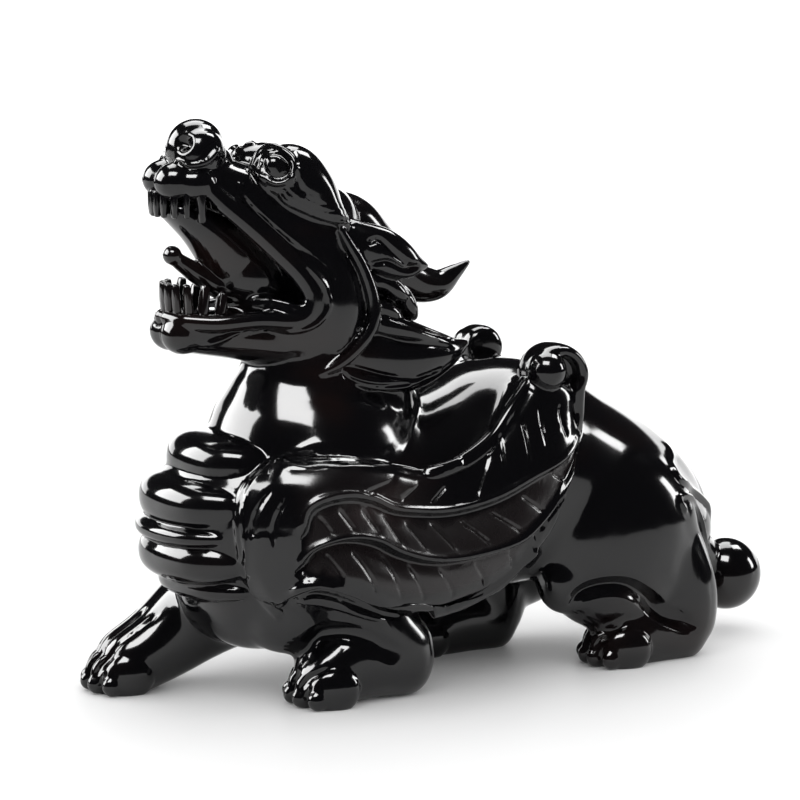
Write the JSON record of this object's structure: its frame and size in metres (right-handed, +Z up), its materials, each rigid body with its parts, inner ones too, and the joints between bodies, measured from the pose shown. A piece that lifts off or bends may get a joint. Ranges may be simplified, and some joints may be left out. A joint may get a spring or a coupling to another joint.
{
  "type": "pixiu figure",
  "caption": "Carved black stone pixiu, a winged guardian beast with a raised open-mouthed head, crouching on its paws, as a desk or shelf ornament.",
  "frame": {"origin": "centre of the bounding box's underside, on the plane of the paw soles", "axes": "+X from the head towards the tail, +Y towards the figure's right side, +Z up"},
  "size_m": [0.15, 0.0568, 0.1159],
  "materials": {
    "obsidian": "polished"
  },
  "bodies": {
    "root": {"pixiu": "obsidian"}
  },
  "joints": []
}
